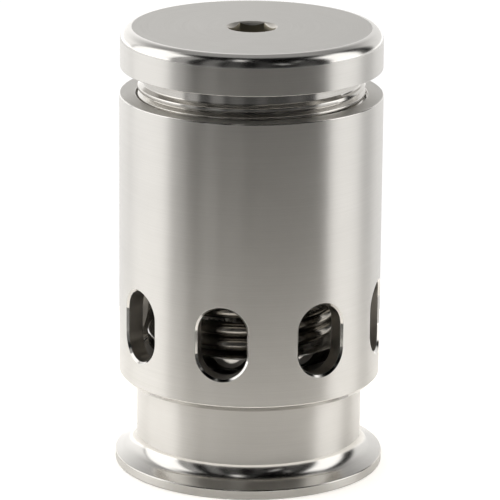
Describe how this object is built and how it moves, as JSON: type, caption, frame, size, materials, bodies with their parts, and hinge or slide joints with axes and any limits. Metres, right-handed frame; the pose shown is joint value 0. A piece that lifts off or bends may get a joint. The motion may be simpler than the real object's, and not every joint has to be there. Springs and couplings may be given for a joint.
{
  "type": "pressure relief valve",
  "caption": "Adjustable spring-loaded pressure relief valve: screw cap with hex socket over a slotted cylindrical vent housing, on a flanged sanitary clamp ferrule.",
  "frame": {"origin": "centre of the ferrule's sealing face, on the valve's axis", "axes": "+Z along the valve's axis, from the ferrule to the cap; -Y through the middle of one vent slot"},
  "size_m": [0.0908, 0.0908, 0.1504],
  "materials": {
    "turned_steel": "stainless steel, turned and brushed round the axis, edges polished",
    "machined_steel": "stainless steel, as machined",
    "spring_steel": "drawn stainless spring wire",
    "ptfe": "white, waxy, turned",
    "bronze": "turned bearing bronze",
    "seal_rubber": "black moulded rubber",
    "nylon": "blue nylon"
  },
  "bodies": {
    "housing": {"base_ferrule": "turned_steel", "vent_housing": "turned_steel", "housing_seal": "seal_rubber", "seat_insert": "ptfe"},
    "poppet": {"poppet_disc": "machined_steel", "poppet_seal": "seal_rubber", "wing_guide": "machined_steel", "lock_washer": "spring_steel", "stem_nut": "machined_steel", "poppet_stem": "machined_steel", "spring": "spring_steel"},
    "spring_seat": {"upper_spring_seat": "machined_steel", "thrust_washer": "bronze"},
    "cap": {"adjusting_cap": "turned_steel", "guide_bushing": "bronze", "bushing_circlip": "spring_steel", "locking_plug": "nylon"}
  },
  "joints": [
    {"name": "poppet_lift", "type": "slide", "parent": "housing", "child": "poppet", "axis": [0, 0, 1], "range_m": [0, 0.008], "stiffness_N_per_m": 3900, "springref_m": -0.028, "deforming": ["spring"]},
    {"name": "cap_travel", "type": "slide", "parent": "housing", "child": "spring_seat", "axis": [0, 0, 1], "range_m": [-0.0088, 0.0061]},
    {"name": "cap_turn", "type": "hinge", "parent": "spring_seat", "child": "cap", "pos_m": [0, 0, 0.1371], "axis": [0, 0, 1], "range_deg": [-1044, 720]}
  ],
  "couplings": [
    {"joint": "cap_travel", "follows": "cap_turn", "m_per_rad": 0.00047746}
  ]
}
